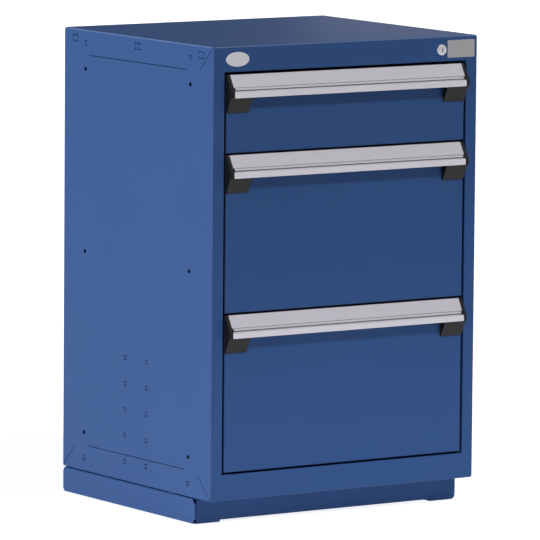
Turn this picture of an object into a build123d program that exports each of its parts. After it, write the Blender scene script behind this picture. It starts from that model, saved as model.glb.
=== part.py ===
from build123d import *
import os
from math import cos, radians, sin

# Modular drawer cabinet: a folded steel housing on a base, three drawers on roller slides, one key lock.
# Millimetres, Z up, the front faces -Y, origin under the middle of the cabinet at floor height.

# Housing
WIDTH = 609.6
DEPTH = 533.4
MODULE = 25.4
DRAWER_UNITS = {"top": 6, "middle": 12, "bottom": 12}
TOP_RAIL = 48.3
TOP_GAP = 1.7
BOTTOM_RAIL = 49.4
BOTTOM_GAP = 4.5
STILE = 25.4
SHEET = 1.5
BEND_IN = 1.0
EDGE_RETURN = 18.0
REAR_FLANGE = 26.5
CORNER_NOTCH = 3.0
BACK_PANEL_GAP = 2.0

# Side panel holes, knock-outs and slits
SIDE_HOLE_R = 4.2
HOLE_FROM_EDGE = 79.0
HOLE_FROM_END = 76.2
KNOCK_R = 5.0
KNOCK_SLIT = 1.8
KNOCK_BRIDGE = 2.0
KNOCK_ROWS = 5
KNOCK_ROW_PITCH = 50.8
KNOCK_FIRST_ROW = 38.1
KNOCK_COLUMN_PITCH = 77.0
KNOCK_FROM_END = 25.4
OBLONG_LENGTH = 17.5
OBLONG_HEIGHT = 14.0
OBLONG_BRIDGE = 3.0
OBLONG_FROM_TOP = 18.3
OBLONG_FROM_EDGE = 41.2
SLIT_WIDTH = 1.3
SLIT_FROM_TOP = 49.0
SLIT_FROM_LOW = 51.0
SLIT_FROM_EDGE = 91.0
MITRE_WIDTH = 1.2
MITRE_START = 4.0
MITRE_END = 47.0

# Base under the housing
BASE_HEIGHT = 49.3
BASE_JOINT = 1.5
BASE_SHEET = 2.0
BASE_BEND_IN = 1.0
BASE_RECESS = 55.7
BASE_FOOT = 59.0
BASE_RELIEF_LENGTH = 7.0
BASE_RELIEF_HEIGHT = 11.0
FOOT_SLOT_WIDTH = 1.6
FOOT_SLOT_HEIGHT = 11.0
FOOT_SLOT_INSET = 4.0
FOOT_SLOT_DROP = 22.0
BASE_RAISE = 4.0
BASE_PLATE_FLANGE = 25.0
BASE_BOLT_R = 4.0
BASE_BOLT_INSET = 15.0
BASE_BOLT_SETBACK = 150.0
BOLT_HEAD_R = 7.5
BOLT_HEAD_T = 5.3
NUT_T = 6.5
BOLT_TAIL = 2.0
BOLT_CLEAR = 0.5
WASHER_R = 9.0
ANCHOR_R = 6.0
ANCHOR_INSET = 28.0
ANCHOR_SETBACK = 45.0

# Slotted posts and drawer slides
POST_WIDTH = 40.0
SLOT_WIDTH = 8.0
SLOT_HEIGHT = 14.0
CARRIAGE_INSET = 8.3
CARRIAGE_T = 2.0
CARRIAGE_HEIGHT = 36.0
CARRIAGE_SHORT = 4.0
CARRIAGE_CORNER = 4.0
SLIDE_GAP = 1.0
RAIL_T = 2.0
RAIL_SETBACK = 7.0
RAIL_REAR_GAP = 28.0
RUNNER_SHORT = 2.0
ROLLER_R = 12.0
ROLLER_WIDTH = 6.5
ROLLER_SIDE = 0.5
ROLLER_EDGE = 1.0
TRACK_CLEAR = 0.3
PIN_R = 4.0
PIN_FIT = 0.05
PIN_HEAD_R = 6.0
PIN_HEAD_T = 1.2
PIN_HEAD_GAP = 0.3
RIVET_T = 0.8
AXLE_INSET = 14.0
RAIL_SCREW_R = 2.5
RAIL_SCREW_HEAD_R = 4.5
RAIL_SCREW_HEAD_T = 2.5
RAIL_SCREW_TAIL = 6.0
RAIL_SCREW_CLEAR = 0.3

# Drawers
FRONT_GAP = 4.0
FRONT_DROP = 0.6
SIDE_GAP = 4.3
FRONT_RECESS = 0.4
FRONT_PAN = 16.0
BOX_SHEET = 1.2
BOX_LIFT = 8.0
BOX_DROP = 30.0
BOX_SHORT = 8.0
BOX_HEM = 5.0
SLIDE_RISE = 30.0

# Handles: reach is measured out from the drawer front, drop down from the handle's top edge
HANDLE_WALL = 2.0
HANDLE_TOP_REACH = 0.6
LABEL_DROP = 23.2
LABEL_PROUD = 0.9
GROOVE_TOP = 27.6
GROOVE_LOW = 30.3
GROOVE_DEPTH = 2.4
LIP_START = 32.5
LIP_REACH = 19.2
LIP_T = 3.0
LIP_DROP = 43.0
LIP_ROUND = 1.2
LIP_END_ROUND = 2.2
PULL_CHAMFER = 0.8
WEB_DROP = 36.0
CAP_INSET = 1.2
CAP_WALL = 6.6
CAP_RIM = 3.4
CAP_SINK = 1.0
CAP_LIP_ROUND = 4.5
CAP_TAB = 3.4
CAP_TAB_SINK = 0.5
CAP_FIT = 0.1
BLOCK_WIDTH = 48.5
BLOCK_TOE = 1.5
BLOCK_DROP = 72.0
BLOCK_GAP = 0.4
HANDLE_SCREW_R = 2.5
HANDLE_SCREW_HEAD_R = 4.5
HANDLE_SCREW_HEAD_T = 3.0
HANDLE_SCREW_DROP = 28.0
HANDLE_SCREW_INSET = 90.0
HANDLE_SCREWS = 4
HANDLE_NUT_T = 4.0
HANDLE_NUT_R = 4.6
HANDLE_SCREW_TAIL = 2.0
HANDLE_SCREW_CLEAR = 0.1

# Lock
LOCK_PLATE_GAP = 3.5
LOCK_DROP = 1.0
LOCK_RING_R = 10.5
LOCK_RING_T = 3.0
LOCK_BARREL_R = 9.0
LOCK_BARREL_CLEAR = 0.2
LOCK_BARREL_LENGTH = 20.0
LOCK_NUT_R = 13.0
LOCK_NUT_T = 5.0
PLUG_R = 6.5
PLUG_FIT = 0.05
PLUG_PROUD = 0.8
KEY_SLOT_WIDTH = 2.2
KEY_SLOT_HEIGHT = 8.0
KEY_SLOT_DEPTH = 12.0
CAM_T = 2.5
CAM_GAP = 0.5
CAM_HUB_R = 8.0
CAM_THROW = 9.0
CAM_START_DEG = -45.0
CAM_PIN_R = 2.5
CAM_PIN_REACH = 1.5
CAM_SCREW_R = 2.0
CAM_SCREW_HEAD_R = 3.6
CAM_SCREW_HEAD_T = 2.0
CAM_SCREW_DEPTH = 5.0
BAR_GAP = 9.4
BAR_T = 2.0
BAR_INSET = 6.0
BAR_WIDTH = 14.0
BAR_TAIL = 60.0
BAR_ARM_HEIGHT = 16.0
BAR_ARM_END = 6.0
BAR_SLOT_CLEAR = 0.5
BAR_TAB_REACH = 20.0
BAR_TAB_HEIGHT = 10.0
GUIDE_WALL = 2.5
GUIDE_CLEAR = 0.3
GUIDE_HEIGHT = 12.0
GUIDE_RISE = 120.0
CATCH_GAP = 2.0
CATCH_LIFT = 2.0
CATCH_RISE = 50.0
CATCH_T = 4.0
CATCH_FOOT_T = 2.0
CATCH_FOOT = 30.0
CATCH_HEIGHT = 16.0
CATCH_SIDE_GAP = 3.3

# Blank plates on the front
BADGE_FROM_SIDE = 54.7
BADGE_LENGTH = 52.0
BADGE_HEIGHT = 28.0
BADGE_T = 1.6
PLATE_LENGTH = 63.7
PLATE_HEIGHT = 34.0
PLATE_FROM_SIDE = 7.0
PLATE_T = 0.5
PLATE_ROUND = 2.0

# Places worked out from the sizes above
HALF_W = WIDTH / 2
OPEN_X = HALF_W - STILE
HANDLE_PROUD = LIP_REACH - FRONT_RECESS
FRONT_Y = (HANDLE_PROUD - DEPTH) / 2
BACK_Y = FRONT_Y + DEPTH
HOUSING_Z = BASE_HEIGHT + BASE_JOINT
OPEN_Z0 = HOUSING_Z + BOTTOM_RAIL
OPEN_Z1 = OPEN_Z0 + BOTTOM_GAP + MODULE * sum(DRAWER_UNITS.values()) + TOP_GAP
TOP_Z = OPEN_Z1 + TOP_RAIL
BEND_OUT = BEND_IN + SHEET
WALL_X = HALF_W - SHEET
BACK_IN = BACK_Y - 2 * SHEET

# Drawer slide stack, from the opening's edge
CARRIAGE_X1 = OPEN_X - CARRIAGE_INSET
CARRIAGE_X0 = CARRIAGE_X1 - CARRIAGE_T
OUTER_ROLLER_X = CARRIAGE_X1 + ROLLER_SIDE
OUTER_HEAD_X = OUTER_ROLLER_X + ROLLER_WIDTH + PIN_HEAD_GAP
POST_X = OUTER_HEAD_X + PIN_HEAD_T + SLIDE_GAP + RAIL_SCREW_HEAD_T + RAIL_T
RAIL_X = CARRIAGE_X1 + SLIDE_GAP
INNER_ROLLER_X = CARRIAGE_X0 - ROLLER_SIDE - ROLLER_WIDTH
INNER_HEAD_X = INNER_ROLLER_X - PIN_HEAD_GAP - PIN_HEAD_T
RUNNER_X1 = CARRIAGE_X0 - SLIDE_GAP
BOX_X = INNER_HEAD_X - SLIDE_GAP - RAIL_T
TRACK = 2 * ROLLER_R + 2 * TRACK_CLEAR
RAIL_HEIGHT = TRACK + 2 * RAIL_T

# Front to back
FACE_Y = FRONT_Y + FRONT_RECESS
BOX_Y0 = FACE_Y + FRONT_PAN
BAR_Y0 = BOX_Y0 + BOX_SHEET + BAR_GAP
BAR_Y1 = BAR_Y0 + BAR_T
CATCH_Y0 = BAR_Y1 + CATCH_GAP
RAIL_Y0 = BAR_Y1 + RAIL_SETBACK
RAIL_Y1 = BACK_IN - RAIL_REAR_GAP
BOX_Y1 = RAIL_Y1 - BOX_SHORT
CARRIAGE_Y0 = RAIL_Y0 + CARRIAGE_SHORT
CARRIAGE_Y1 = RAIL_Y1 - CARRIAGE_SHORT
POST_YS = (FRONT_Y + HOLE_FROM_EDGE, BACK_Y - HOLE_FROM_EDGE)
AXLE_YS = {
    "front": CARRIAGE_Y0 + AXLE_INSET,
    "middle": (RAIL_Y0 + BOX_Y1) / 2,
    "rear": CARRIAGE_Y1 - AXLE_INSET,
}

# Drawer front and handle
DRAWER_X = OPEN_X - SIDE_GAP
CAP_X = DRAWER_X - CAP_INSET
HANDLE_X = CAP_X - CAP_WALL
LIP_IN = LIP_REACH - LIP_T
BLOCK_REACH = LIP_IN - BLOCK_GAP

# Lock, beside the data plate
PLATE_X1 = HALF_W - PLATE_FROM_SIDE
PLATE_X0 = PLATE_X1 - PLATE_LENGTH
LOCK_X = PLATE_X0 - LOCK_PLATE_GAP - LOCK_RING_R
RAIL_MID_Z = TOP_Z - (SHEET + TOP_RAIL) / 2
LOCK_Z = RAIL_MID_Z - LOCK_DROP
CAM_Y0 = FRONT_Y + LOCK_BARREL_LENGTH + CAM_GAP
BAR_X0 = OPEN_X + BAR_INSET
BAR_X1 = BAR_X0 + BAR_WIDTH


def drawer_levels():
    """Top and bottom of each drawer's share of the opening, from the top drawer down."""
    levels = {}
    top = OPEN_Z1 - TOP_GAP
    for name, units in DRAWER_UNITS.items():
        bottom = top - units * MODULE
        levels[name] = (top, bottom)
        top = bottom
    return levels


LEVELS = drawer_levels()


def slide_z(name):
    return LEVELS[name][1] + BOX_LIFT + SLIDE_RISE


def catch_z(name):
    return slide_z(name) + CATCH_RISE


# Helpers
def block(x0, x1, y0, y1, z0, z1):
    return Pos((x0 + x1) / 2, (y0 + y1) / 2, (z0 + z1) / 2) * Box(x1 - x0, y1 - y0, z1 - z0)


def rod_x(radius, x0, x1, y, z):
    return Pos((x0 + x1) / 2, y, z) * Rot(0, 90, 0) * Cylinder(radius, x1 - x0)


def rod_y(radius, y0, y1, x, z):
    return Pos(x, (y0 + y1) / 2, z) * Rot(90, 0, 0) * Cylinder(radius, y1 - y0)


def rod_z(radius, z0, z1, x, y):
    return Pos(x, y, (z0 + z1) / 2) * Cylinder(radius, z1 - z0)


def hexagon_y(radius, y0, y1, x, z):
    prism = extrude(RegularPolygon(radius, 6), (y1 - y0) / 2, both=True)
    return Pos(x, (y0 + y1) / 2, z) * Rot(90, 0, 0) * prism


def hexagon_z(radius, z0, z1, x, y):
    return Pos(x, y, z0) * extrude(RegularPolygon(radius, 6), z1 - z0)


def mirrored(shape):
    return mirror(shape, about=Plane.YZ)


def both_sides(shape):
    return [shape, mirrored(shape)]


def x_extrusion(points, x0, x1, rounds=()):
    """Solid from an outline of (y, z) points, with some of its corners rounded."""
    face = make_face(Polyline(*points, close=True))
    for y, z, radius in rounds:
        corner = face.vertices().sort_by_distance(Vector(y, z, 0))[0]
        face = fillet(corner, radius)
    return Pos(x0, 0, 0) * extrude(Plane.YZ * face, x1 - x0)


def save(name, *solids):
    shape = solids[0] if len(solids) == 1 else Compound(children=list(solids))
    export_step(shape, f"parts/{name}.step")


def folded_tray(x0, x1, y0, y1, z0, z1, sheet, bend_in):
    """Sheet tray that is open towards -X, with all its bends rounded."""
    outer = block(x0, x1, y0, y1, z0, z1)
    outer = fillet(outer.edges().filter_by(lambda e: e.center().X > x0 + sheet), bend_in + sheet)
    inner = block(x0 - sheet, x1 - sheet, y0 + sheet, y1 - sheet, z0 + sheet, z1 - sheet)
    inner = fillet(inner.edges().filter_by(lambda e: e.center().X > x0), bend_in)
    return outer - inner


# Side panels
def knock_out(y, z):
    """Two facing slits of a round knock-out."""
    x0 = WALL_X - SHEET
    x1 = HALF_W + SHEET
    half = KNOCK_BRIDGE / 2
    ring = rod_x(KNOCK_R, x0, x1, y, z)
    ring -= rod_x(KNOCK_R - KNOCK_SLIT, x0, x1, y, z)
    return ring - block(x0, x1, y - KNOCK_R, y + KNOCK_R, z - half, z + half)


def oblong_knock_out(y, z):
    """Four corner slits of an oblong knock-out."""
    half_y = OBLONG_LENGTH / 2
    half_z = OBLONG_HEIGHT / 2
    in_y = half_y - KNOCK_SLIT
    in_z = half_z - KNOCK_SLIT
    bridge = OBLONG_BRIDGE / 2
    x0 = WALL_X - SHEET
    x1 = HALF_W + SHEET
    ring = block(x0, x1, y - half_y, y + half_y, z - half_z, z + half_z)
    ring -= block(x0, x1, y - in_y, y + in_y, z - in_z, z + in_z)
    ring -= block(x0, x1, y - bridge, y + bridge, z - half_z, z + half_z)
    ring -= block(x0, x1, y - half_y, y + half_y, z - bridge, z + bridge)
    return ring


def slits():
    """Narrow cuts through the wall: two level ones and mitres at three corners."""
    x0 = WALL_X - SHEET
    x1 = HALF_W + SHEET
    half = SLIT_WIDTH / 2
    y0 = FRONT_Y + SLIT_FROM_EDGE
    y1 = BACK_Y - SLIT_FROM_EDGE
    levels = (TOP_Z - SLIT_FROM_TOP, HOUSING_Z + SLIT_FROM_LOW)
    lines = [block(x0, x1, y0, y1, z - half, z + half) for z in levels]
    length = (MITRE_END - MITRE_START) * 2**0.5
    middle = (MITRE_END + MITRE_START) / 2
    corners = ((FRONT_Y, 1, TOP_Z, -1), (FRONT_Y, 1, HOUSING_Z, 1), (BACK_Y, -1, HOUSING_Z, 1))
    for y_edge, y_way, z_edge, z_way in corners:
        mitre = Rot(45 * y_way * z_way, 0, 0) * Box(x1 - x0, length, MITRE_WIDTH)
        lines.append(Pos((x0 + x1) / 2, y_edge + y_way * middle, z_edge + z_way * middle) * mitre)
    return lines


def side_hole_zs():
    ends = (HOUSING_Z + HOLE_FROM_END, TOP_Z - HOLE_FROM_END)
    return (ends[0], sum(ends) / 2, ends[1])


def side_cuts():
    x0 = WALL_X - SHEET
    x1 = HALF_W + SHEET
    cuts = [rod_x(SIDE_HOLE_R, x0, x1, y, z) for y in POST_YS for z in side_hole_zs()]
    middle = (POST_YS[0] + POST_YS[1]) / 2
    for row in range(KNOCK_ROWS):
        z = HOUSING_Z + KNOCK_FIRST_ROW + row * KNOCK_ROW_PITCH
        cuts += [knock_out(middle + s * KNOCK_COLUMN_PITCH / 2, z) for s in (-1, 1)]
    for y in POST_YS:
        cuts += [knock_out(y, HOUSING_Z + KNOCK_FROM_END), knock_out(y, TOP_Z - KNOCK_FROM_END)]
    for y in (FRONT_Y + OBLONG_FROM_EDGE, middle, BACK_Y - OBLONG_FROM_EDGE):
        cuts.append(oblong_knock_out(y, TOP_Z - OBLONG_FROM_TOP))
    for y in (FRONT_Y, BACK_Y):
        for z in (HOUSING_Z, TOP_Z):
            notch = Box(2 * CORNER_NOTCH, 2 * CORNER_NOTCH, 2 * CORNER_NOTCH)
            cuts.append(Pos(HALF_W, y, z) * notch)
    return cuts + slits()


def base_bolt_places():
    x = HALF_W - BASE_BOLT_INSET
    return [(x, FRONT_Y + BASE_BOLT_SETBACK), (x, BACK_Y - BASE_BOLT_SETBACK)]


def side_panel():
    """Right side panel: wall, front stile with its edge return, top, bottom and rear flanges."""
    panel = folded_tray(OPEN_X, HALF_W, FRONT_Y, BACK_Y, HOUSING_Z, TOP_Z, SHEET, BEND_IN)
    panel += block(OPEN_X, OPEN_X + SHEET, FRONT_Y + SHEET / 2, FRONT_Y + EDGE_RETURN, OPEN_Z0, OPEN_Z1)
    hole_r = BASE_BOLT_R + BOLT_CLEAR
    cuts = [rod_z(hole_r, HOUSING_Z - SHEET, HOUSING_Z + 2 * SHEET, x, y) for x, y in base_bolt_places()]
    return panel - side_cuts() - cuts


# Top, bottom and back panels
def rail_panel(z_flat, z_rail, z_rear):
    """Flat panel between the side panels, folded into a rail at the front and a flange at the rear."""
    way = 1 if z_flat > z_rail else -1
    low, high = sorted((z_flat, z_rail))
    outer = block(-OPEN_X, OPEN_X, FRONT_Y, BACK_Y, low, high)
    bends = outer.edges().filter_by(Axis.X).filter_by(lambda e: abs(e.center().Z - z_flat) < SHEET)
    outer = fillet(bends, BEND_OUT)
    z0, z1 = sorted((z_flat - way * SHEET, z_rail - way * SHEET))
    inner = block(-WIDTH, WIDTH, FRONT_Y + SHEET, BACK_Y - SHEET, z0, z1)
    bends = inner.edges().filter_by(Axis.X).filter_by(lambda e: abs(e.center().Z - z_flat) < 2 * SHEET)
    panel = outer - fillet(bends, BEND_IN)
    z0, z1 = sorted((z_rear, z_rail - way * SHEET))
    panel -= block(-WIDTH, WIDTH, BACK_Y - 2 * SHEET, BACK_Y + SHEET, z0, z1)
    z0, z1 = sorted((z_rail, z_rail + way * SHEET))
    return panel + block(-OPEN_X, OPEN_X, FRONT_Y + SHEET / 2, FRONT_Y + EDGE_RETURN, z0, z1)


def top_panel():
    panel = rail_panel(TOP_Z, OPEN_Z1, TOP_Z - REAR_FLANGE)
    hole_r = LOCK_BARREL_R + LOCK_BARREL_CLEAR
    return panel - rod_y(hole_r, FRONT_Y - SHEET, FRONT_Y + 2 * SHEET, LOCK_X, LOCK_Z)


def bottom_panel():
    return rail_panel(HOUSING_Z, OPEN_Z0, HOUSING_Z + REAR_FLANGE)


def back_panel():
    x = WALL_X - BACK_PANEL_GAP
    z0 = HOUSING_Z + SHEET + BACK_PANEL_GAP
    return block(-x, x, BACK_IN, BACK_Y - SHEET, z0, TOP_Z - SHEET - BACK_PANEL_GAP)


# Base
def base_channel():
    """Right base channel: folded sheet, with its front flange as the foot and cut corners at its bends."""
    y0 = FRONT_Y + BASE_RECESS
    x0 = HALF_W - BASE_FOOT
    channel = folded_tray(x0, HALF_W, y0, BACK_Y, 0, BASE_HEIGHT, BASE_SHEET, BASE_BEND_IN)
    for y, y_way in ((y0, 1), (BACK_Y, -1)):
        for z, z_way in ((0, 1), (BASE_HEIGHT, -1)):
            inner = (y + y_way * BASE_RELIEF_LENGTH, z)
            upright = (y, z + z_way * BASE_RELIEF_HEIGHT)
            channel -= x_extrusion([(y, z), inner, upright], HALF_W - BASE_RELIEF_LENGTH, HALF_W)
    hole_r = BASE_BOLT_R + BOLT_CLEAR
    for x, y in base_bolt_places():
        channel -= rod_z(hole_r, BASE_HEIGHT - 2 * BASE_SHEET, BASE_HEIGHT + BASE_SHEET, x, y)
    for y in (y0 + ANCHOR_SETBACK, BACK_Y - ANCHOR_SETBACK):
        channel -= rod_z(ANCHOR_R, -BASE_SHEET, 2 * BASE_SHEET, HALF_W - ANCHOR_INSET, y)
    slot_x = HALF_W - FOOT_SLOT_INSET
    slot_z = BASE_HEIGHT - FOOT_SLOT_DROP
    slot = Box(FOOT_SLOT_WIDTH, 4 * BASE_SHEET, FOOT_SLOT_HEIGHT)
    return channel - Pos(slot_x, y0, slot_z) * slot


def base_plate(y_face, y_way):
    """Plate between the two base channels, folded top and bottom, a little off the floor."""
    x = HALF_W - BASE_FOOT
    y0, y1 = sorted((y_face, y_face + y_way * BASE_PLATE_FLANGE))
    z0, z1 = BASE_RAISE, BASE_HEIGHT
    bend_out = BASE_BEND_IN + BASE_SHEET
    outer = block(-x, x, y0, y1, z0, z1)
    bends = outer.edges().filter_by(Axis.X).filter_by(lambda e: abs(e.center().Y - y_face) < BASE_SHEET)
    outer = fillet(bends, bend_out)
    y0, y1 = sorted((y_face + y_way * BASE_SHEET, y_face + y_way * 2 * BASE_PLATE_FLANGE))
    inner = block(-WIDTH, WIDTH, y0, y1, z0 + BASE_SHEET, z1 - BASE_SHEET)
    bends = inner.edges().filter_by(Axis.X).filter_by(lambda e: abs(e.center().Y - y_face) < 2 * BASE_SHEET)
    return outer - fillet(bends, BASE_BEND_IN)


def base_bolts():
    """Hexagon bolts from the housing down into the base, each with its nut and a spacing washer."""
    solids = []
    z_head = HOUSING_Z + SHEET
    z_nut = BASE_HEIGHT - BASE_SHEET
    for x, y in base_bolt_places():
        bolt = hexagon_z(BOLT_HEAD_R, z_head, z_head + BOLT_HEAD_T, x, y)
        bolt += rod_z(BASE_BOLT_R, z_nut - NUT_T - BOLT_TAIL, z_head, x, y)
        nut = hexagon_z(BOLT_HEAD_R, z_nut - NUT_T, z_nut, x, y)
        nut -= rod_z(BASE_BOLT_R + PIN_FIT, z_nut - 2 * NUT_T, z_nut + NUT_T, x, y)
        washer = rod_z(WASHER_R, BASE_HEIGHT, HOUSING_Z, x, y)
        washer -= rod_z(BASE_BOLT_R + BOLT_CLEAR, BASE_HEIGHT - SHEET, HOUSING_Z + SHEET, x, y)
        solids += both_sides(bolt) + both_sides(nut) + both_sides(washer)
    return solids


# Slotted posts and slides
def post(y):
    """Upright channel on the side panel, slotted at every module for the drawer rails."""
    z0 = HOUSING_Z + SHEET + BEND_IN
    z1 = TOP_Z - SHEET - BEND_IN
    half = POST_WIDTH / 2
    channel = block(POST_X, WALL_X, y - half, y + half, z0, z1)
    channel -= block(POST_X + SHEET, HALF_W, y - half + SHEET, y + half - SHEET, z0 - SHEET, z1 + SHEET)
    lowest = slide_z("bottom") - MODULE * int((slide_z("bottom") - z0 - MODULE / 2) / MODULE)
    count = int((z1 - MODULE / 2 - lowest) / MODULE) + 1
    cut_y = SLOT_WIDTH / 2
    cut_z = SLOT_HEIGHT / 2
    slots = []
    for row in range(count):
        z = lowest + row * MODULE
        slots.append(block(POST_X - SHEET, POST_X + 2 * SHEET, y - cut_y, y + cut_y, z - cut_z, z + cut_z))
    return channel - slots


def fixed_rail(z):
    """Channel on the posts, open towards the drawer; the outer rollers run inside it."""
    half = RAIL_HEIGHT / 2
    track = TRACK / 2
    rail = block(RAIL_X, POST_X, RAIL_Y0, RAIL_Y1, z - half, z + half)
    rail -= block(RAIL_X - RAIL_T, POST_X - RAIL_T, RAIL_Y0 - RAIL_T, RAIL_Y1 + RAIL_T, z - track, z + track)
    for y in POST_YS:
        rail -= rod_x(RAIL_SCREW_R + RAIL_SCREW_CLEAR, POST_X - 2 * RAIL_T, POST_X + RAIL_T, y, z)
    return rail


def rail_screws():
    solids = []
    x_head = POST_X - RAIL_T
    for name in LEVELS:
        for y in POST_YS:
            z = slide_z(name)
            screw = rod_x(RAIL_SCREW_HEAD_R, x_head - RAIL_SCREW_HEAD_T, x_head, y, z)
            screw += rod_x(RAIL_SCREW_R, x_head, POST_X + SHEET + RAIL_SCREW_TAIL, y, z)
            solids += both_sides(screw)
    return solids


def carriage(z):
    """Flat plate between the fixed rail and the drawer runner, which carries the roller axles."""
    half = CARRIAGE_HEIGHT / 2
    plate = block(CARRIAGE_X0, CARRIAGE_X1, CARRIAGE_Y0, CARRIAGE_Y1, z - half, z + half)
    plate = fillet(plate.edges().filter_by(Axis.X), CARRIAGE_CORNER)
    for y in AXLE_YS.values():
        plate -= rod_x(PIN_R + PIN_FIT, CARRIAGE_X0 - CARRIAGE_T, CARRIAGE_X1 + CARRIAGE_T, y, z)
    return plate


def axle_pin(line, z):
    """Headed pin riveted through the carriage plate, with a head beyond each roller it carries."""
    y = AXLE_YS[line]
    x0 = CARRIAGE_X0 - RIVET_T
    x1 = CARRIAGE_X1 + RIVET_T
    heads = []
    if line != "rear":
        x0 = INNER_HEAD_X
        heads.append(rod_x(PIN_HEAD_R, x0, x0 + PIN_HEAD_T, y, z))
    else:
        heads.append(rod_x(PIN_HEAD_R, x0, CARRIAGE_X0, y, z))
    if line != "front":
        x1 = OUTER_HEAD_X + PIN_HEAD_T
        heads.append(rod_x(PIN_HEAD_R, OUTER_HEAD_X, x1, y, z))
    else:
        heads.append(rod_x(PIN_HEAD_R, CARRIAGE_X1, x1, y, z))
    return rod_x(PIN_R, x0, x1, y, z) + heads


def roller(x0, y, z):
    wheel = rod_x(ROLLER_R, x0, x0 + ROLLER_WIDTH, y, z)
    rims = wheel.edges().filter_by(GeomType.CIRCLE)
    wheel = chamfer(rims, ROLLER_EDGE)
    return wheel - rod_x(PIN_R + PIN_FIT, x0 - ROLLER_WIDTH, x0 + 2 * ROLLER_WIDTH, y, z)


def rollers(line, z):
    """All rollers on one axle line, on the left and right carriages."""
    y = AXLE_YS[line]
    solids = []
    if line != "rear":
        solids += both_sides(roller(INNER_ROLLER_X, y, z))
    if line != "front":
        solids += both_sides(roller(OUTER_ROLLER_X, y, z))
    return solids


# Drawers
def runner(z):
    """Channel on the drawer's side, open outwards; the inner rollers run inside it."""
    half = RAIL_HEIGHT / 2
    track = TRACK / 2
    y0 = BOX_Y0 + BOX_SHEET + RUNNER_SHORT
    channel = block(BOX_X, RUNNER_X1, y0, BOX_Y1, z - half, z + half)
    return channel - block(BOX_X + RAIL_T, HALF_W, y0 - RAIL_T, BOX_Y1 + RAIL_T, z - track, z + track)


def drawer_box(top, bottom):
    """Open sheet box with a folded hem, welded to the inner skin of the drawer front."""
    z0 = bottom + BOX_LIFT
    z1 = top - BOX_DROP
    box = block(-BOX_X, BOX_X, BOX_Y0, BOX_Y1, z0, z1)
    inner_x = BOX_X - BOX_SHEET
    inner_y0 = BOX_Y0 + BOX_SHEET
    inner_y1 = BOX_Y1 - BOX_SHEET
    box -= block(-inner_x, inner_x, inner_y0, inner_y1, z0 + BOX_SHEET, z1 - BOX_SHEET)
    hem_x = inner_x - BOX_HEM
    box -= block(-hem_x, hem_x, inner_y0 + BOX_HEM, inner_y1 - BOX_HEM, z0 + BOX_SHEET, z1 + BOX_SHEET)
    skin = block(-DRAWER_X, DRAWER_X, BOX_Y0, BOX_Y0 + BOX_SHEET, bottom - FRONT_DROP, top - FRONT_GAP)
    return box + skin


def handle_screw_xs():
    last = HANDLE_X - HANDLE_SCREW_INSET
    return [last * (2 * i / (HANDLE_SCREWS - 1) - 1) for i in range(HANDLE_SCREWS)]


def drawer_front(top, bottom):
    """Folded sheet pan in front of the box, with rounded front edges and the handle's screw holes."""
    z0 = bottom - FRONT_DROP
    z1 = top - FRONT_GAP
    outer = block(-DRAWER_X, DRAWER_X, FACE_Y, BOX_Y0, z0, z1)
    rim = outer.faces().sort_by(Axis.Y)[0].edges()
    outer = fillet(rim, BEND_OUT)
    inner_x = DRAWER_X - SHEET
    inner = block(-inner_x, inner_x, FACE_Y + SHEET, BOX_Y0 + SHEET, z0 + SHEET, z1 - SHEET)
    rim = inner.faces().sort_by(Axis.Y)[0].edges()
    pan = outer - fillet(rim, BEND_IN)
    hole_r = HANDLE_SCREW_R + HANDLE_SCREW_CLEAR
    z = z1 - HANDLE_SCREW_DROP
    return pan - [rod_y(hole_r, FACE_Y - SHEET, FACE_Y + 2 * SHEET, x, z) for x in handle_screw_xs()]


def handle_point(z_top, reach, drop):
    return (FACE_Y - reach, z_top - drop)


def slant_point(z_top, drop, depth):
    """Point under the pull's slanted front: its drop along the slant and its depth square to it."""
    run = LIP_REACH - HANDLE_TOP_REACH
    length = (run**2 + LIP_START**2) ** 0.5
    reach = HANDLE_TOP_REACH + drop * run / LIP_START
    return handle_point(z_top, reach - depth * LIP_START / length, drop + depth * run / length)


def slant_drop(reach, depth):
    """Drop at which a line at some depth under the slanted front comes to a reach."""
    run = LIP_REACH - HANDLE_TOP_REACH
    length = (run**2 + LIP_START**2) ** 0.5
    return (reach - HANDLE_TOP_REACH) * LIP_START / run + depth * length / run


def corner_cut(radius, x, z, z_way, y0, y1):
    """What a rounding takes away at a right end's corner in the X and Z plane."""
    z_mid = z - z_way * radius
    z0, z1 = sorted((z_mid, z + z_way * radius))
    return block(x - radius, x + radius, y0, y1, z0, z1) - rod_y(radius, y0, y1, x - radius, z_mid)


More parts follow.
